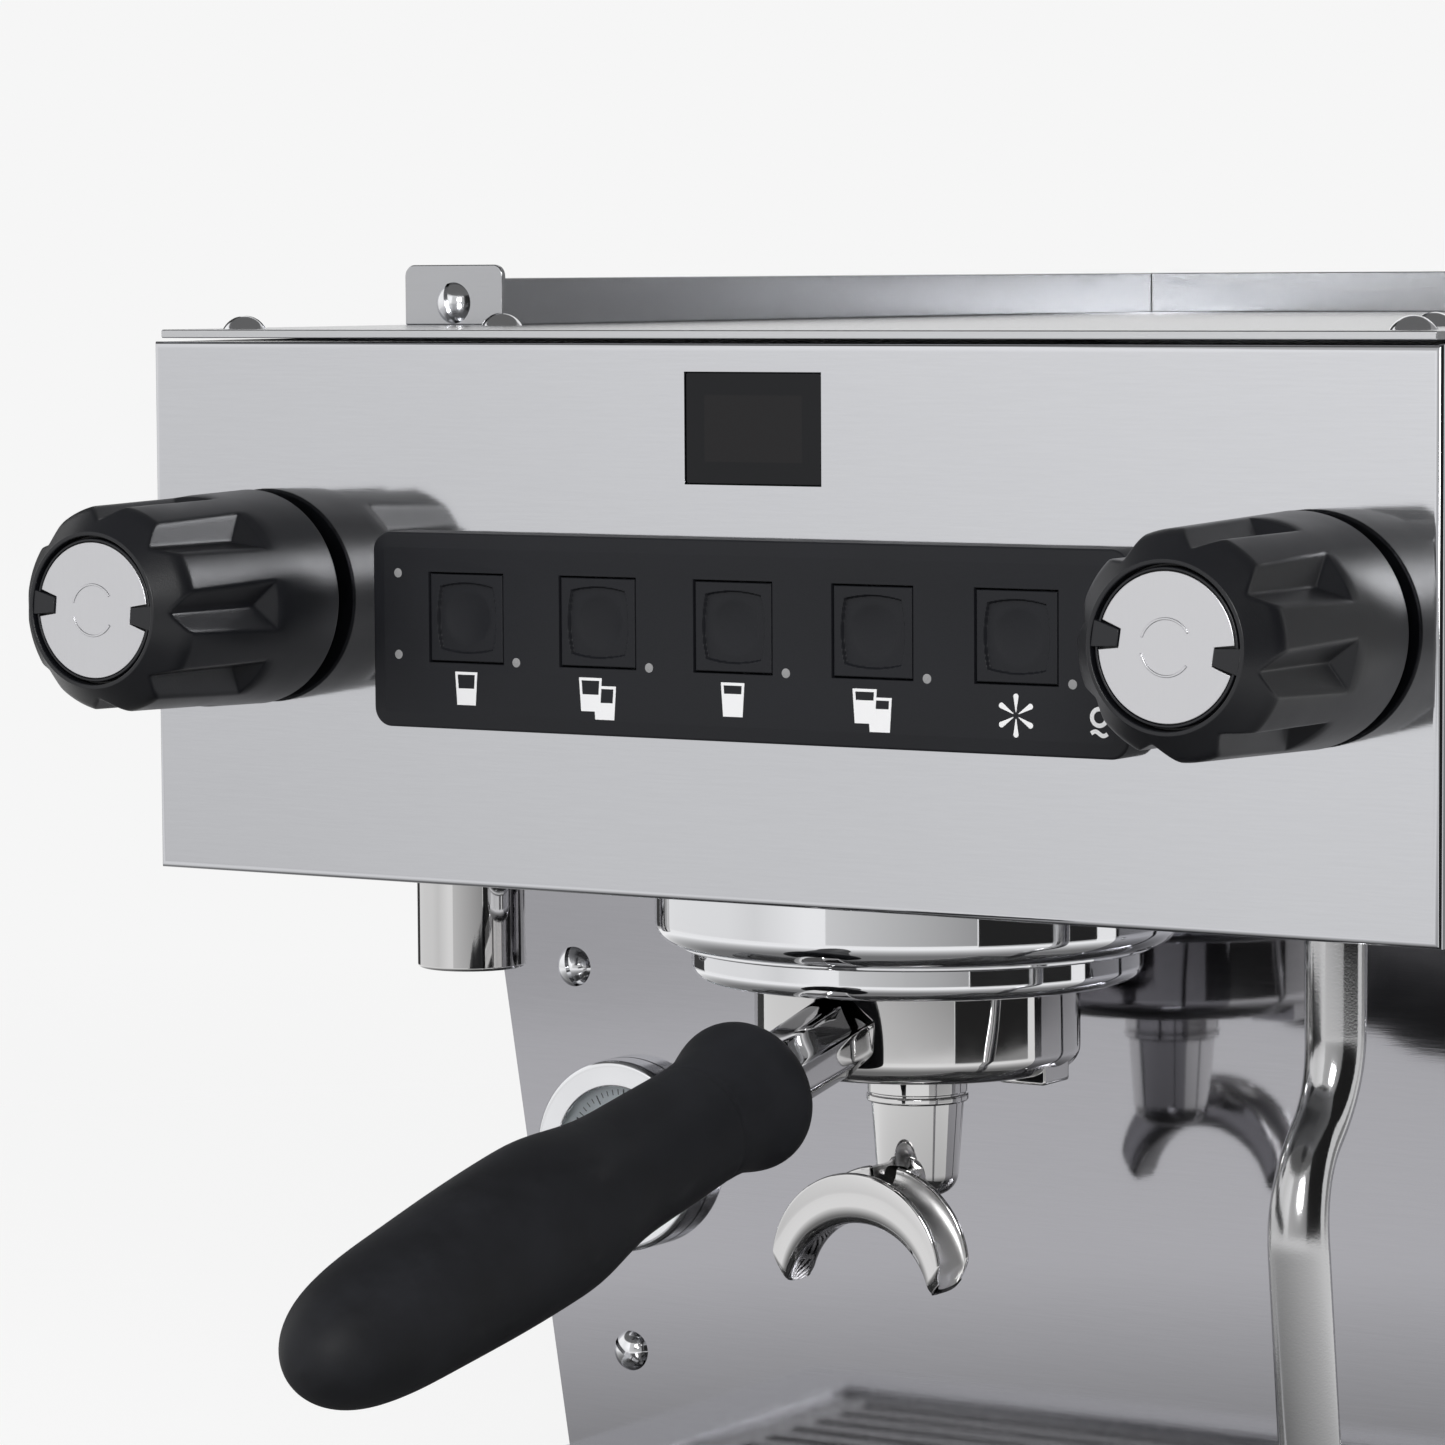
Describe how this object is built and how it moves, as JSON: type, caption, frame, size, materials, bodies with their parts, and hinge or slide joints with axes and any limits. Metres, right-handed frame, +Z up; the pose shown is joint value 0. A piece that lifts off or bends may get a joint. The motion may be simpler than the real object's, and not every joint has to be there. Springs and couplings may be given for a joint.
{
  "type": "espresso machine",
  "caption": "Compact steel espresso machine with a keypad, fluted steam and hot-water knobs, a locked portafilter with a twin open spout, a steam wand and a drip tray.",
  "frame": {"origin": "on the counter, under the middle of the whole machine with its handle", "axes": "+Z up, -Y to the front where the handle points, +X to the right seen from the front"},
  "size_m": [0.3, 0.563, 0.3681],
  "materials": {
    "panel_steel": "fine horizontal brushing, nearly mirror-like",
    "splash_steel": "polished, light horizontal brushing",
    "body_steel": "brushed sheet",
    "screw_steel": "polished dome heads",
    "chrome": "polished chrome plate",
    "cap_aluminium": "satin, turned",
    "knob_black": "matt black, soft sheen on edges",
    "grip_black": "soft matt black",
    "keypad_black": "matt black",
    "display_black": "smoked glossy window",
    "led_grey": "clear dots, unlit",
    "board_green": "circuit board",
    "brass": "plain",
    "copper": "drawn copper",
    "boiler_steel": "plain stainless steel",
    "gasket_rubber": "plain",
    "foot_black": "satin black",
    "pad_rubber": "plain",
    "gauge_white": "printed dial",
    "gauge_black": "plain",
    "gauge_glass": "clear",
    "motor_grey": "plain",
    "box_grey": "plain"
  },
  "bodies": {
    "machine": {"front_panel": "panel_steel", "left_side_panel": "body_steel", "right_side_panel": "body_steel", "rear_panel": "body_steel", "lid": "body_steel", "lid_screws": "screw_steel", "backsplash_screws": "screw_steel", "cup_rail": "body_steel", "head_floor": "body_steel", "backsplash": "splash_steel", "chassis_pan": "body_steel", "chassis_deck": "body_steel", "feet": "foot_black", "foot_pads": "pad_rubber", "keypad_plate": "keypad_black", "indicator_leds": "led_grey", "display_window": "display_black", "display_board": "board_green", "valve_bodies": "brass", "group_bell": "chrome", "group_head": "chrome", "group_gasket": "gasket_rubber", "shower_screen": "boiler_steel", "wand_nut": "chrome", "hot_water_nozzle": "chrome", "gauge_case": "gauge_black", "gauge_bezel": "chrome", "gauge_dial": "gauge_white", "gauge_glass": "gauge_glass", "brew_boiler": "boiler_steel", "steam_boiler": "boiler_steel", "boiler_heaters": "brass", "boiler_cradle": "boiler_steel", "pump_motor": "motor_grey", "pump": "brass", "solenoid_valve": "brass", "control_box": "box_grey", "water_inlet": "brass", "mains_inlet": "gauge_black", "copper_pipes": "copper"},
    "water_knob_turn": {"water_knob": "knob_black", "water_knob_cap": "cap_aluminium", "water_valve_stem": "brass"},
    "steam_knob_turn": {"steam_knob": "knob_black", "steam_knob_cap": "cap_aluminium", "steam_valve_stem": "brass"},
    "portafilter": {"portafilter_body": "chrome", "filter_basket": "boiler_steel", "handle_grip": "grip_black", "spout": "chrome"},
    "wand": {"steam_wand": "chrome", "steam_tip": "chrome"},
    "tray": {"drip_tray": "body_steel"},
    "grille": {"drip_grille": "body_steel"},
    "needle": {"gauge_needle": "gauge_black"},
    "key_1": {"button_1": "keypad_black"},
    "key_2": {"button_2": "keypad_black"},
    "key_3": {"button_3": "keypad_black"},
    "key_4": {"button_4": "keypad_black"},
    "key_5": {"button_5": "keypad_black"}
  },
  "joints": [
    {"name": "water_knob_hinge", "type": "hinge", "parent": "machine", "child": "water_knob_turn", "pos_m": [-0.1223, -0.1286, 0.2988], "axis": [0, -1, 0], "range_deg": [0, 270]},
    {"name": "steam_knob_hinge", "type": "hinge", "parent": "machine", "child": "steam_knob_turn", "pos_m": [0.1223, -0.1286, 0.2988], "axis": [0, -1, 0], "range_deg": [0, 270]},
    {"name": "portafilter_lock", "type": "hinge", "parent": "machine", "child": "portafilter", "pos_m": [0, -0.0646, 0.22], "axis": [0, 0, 1], "range_deg": [-45, 0]},
    {"name": "wand_swivel", "type": "hinge", "parent": "machine", "child": "wand", "pos_m": [0.107, -0.0846, 0.24], "axis": [0, 0, 1], "range_deg": [-60, 60]},
    {"name": "tray_slide", "type": "slide", "parent": "machine", "child": "tray", "axis": [0, -1, 0], "range_m": [0, 0.13]},
    {"name": "grille_lift", "type": "slide", "parent": "tray", "child": "grille", "axis": [0, 0, 1], "range_m": [0, 0.02]},
    {"name": "needle_turn", "type": "hinge", "parent": "machine", "child": "needle", "pos_m": [-0.1096, -0.0101, 0.165], "axis": [0, 1, 0], "range_deg": [0, 240], "stiffness_Nm_per_rad": 0.002},
    {"name": "key_1_press", "type": "slide", "parent": "machine", "child": "key_1", "axis": [0, 1, 0], "range_m": [0, 0.0015], "stiffness_N_per_m": 900},
    {"name": "key_2_press", "type": "slide", "parent": "machine", "child": "key_2", "axis": [0, 1, 0], "range_m": [0, 0.0015], "stiffness_N_per_m": 900},
    {"name": "key_3_press", "type": "slide", "parent": "machine", "child": "key_3", "axis": [0, 1, 0], "range_m": [0, 0.0015], "stiffness_N_per_m": 900},
    {"name": "key_4_press", "type": "slide", "parent": "machine", "child": "key_4", "axis": [0, 1, 0], "range_m": [0, 0.0015], "stiffness_N_per_m": 900},
    {"name": "key_5_press", "type": "slide", "parent": "machine", "child": "key_5", "axis": [0, 1, 0], "range_m": [0, 0.0015], "stiffness_N_per_m": 900}
  ]
}
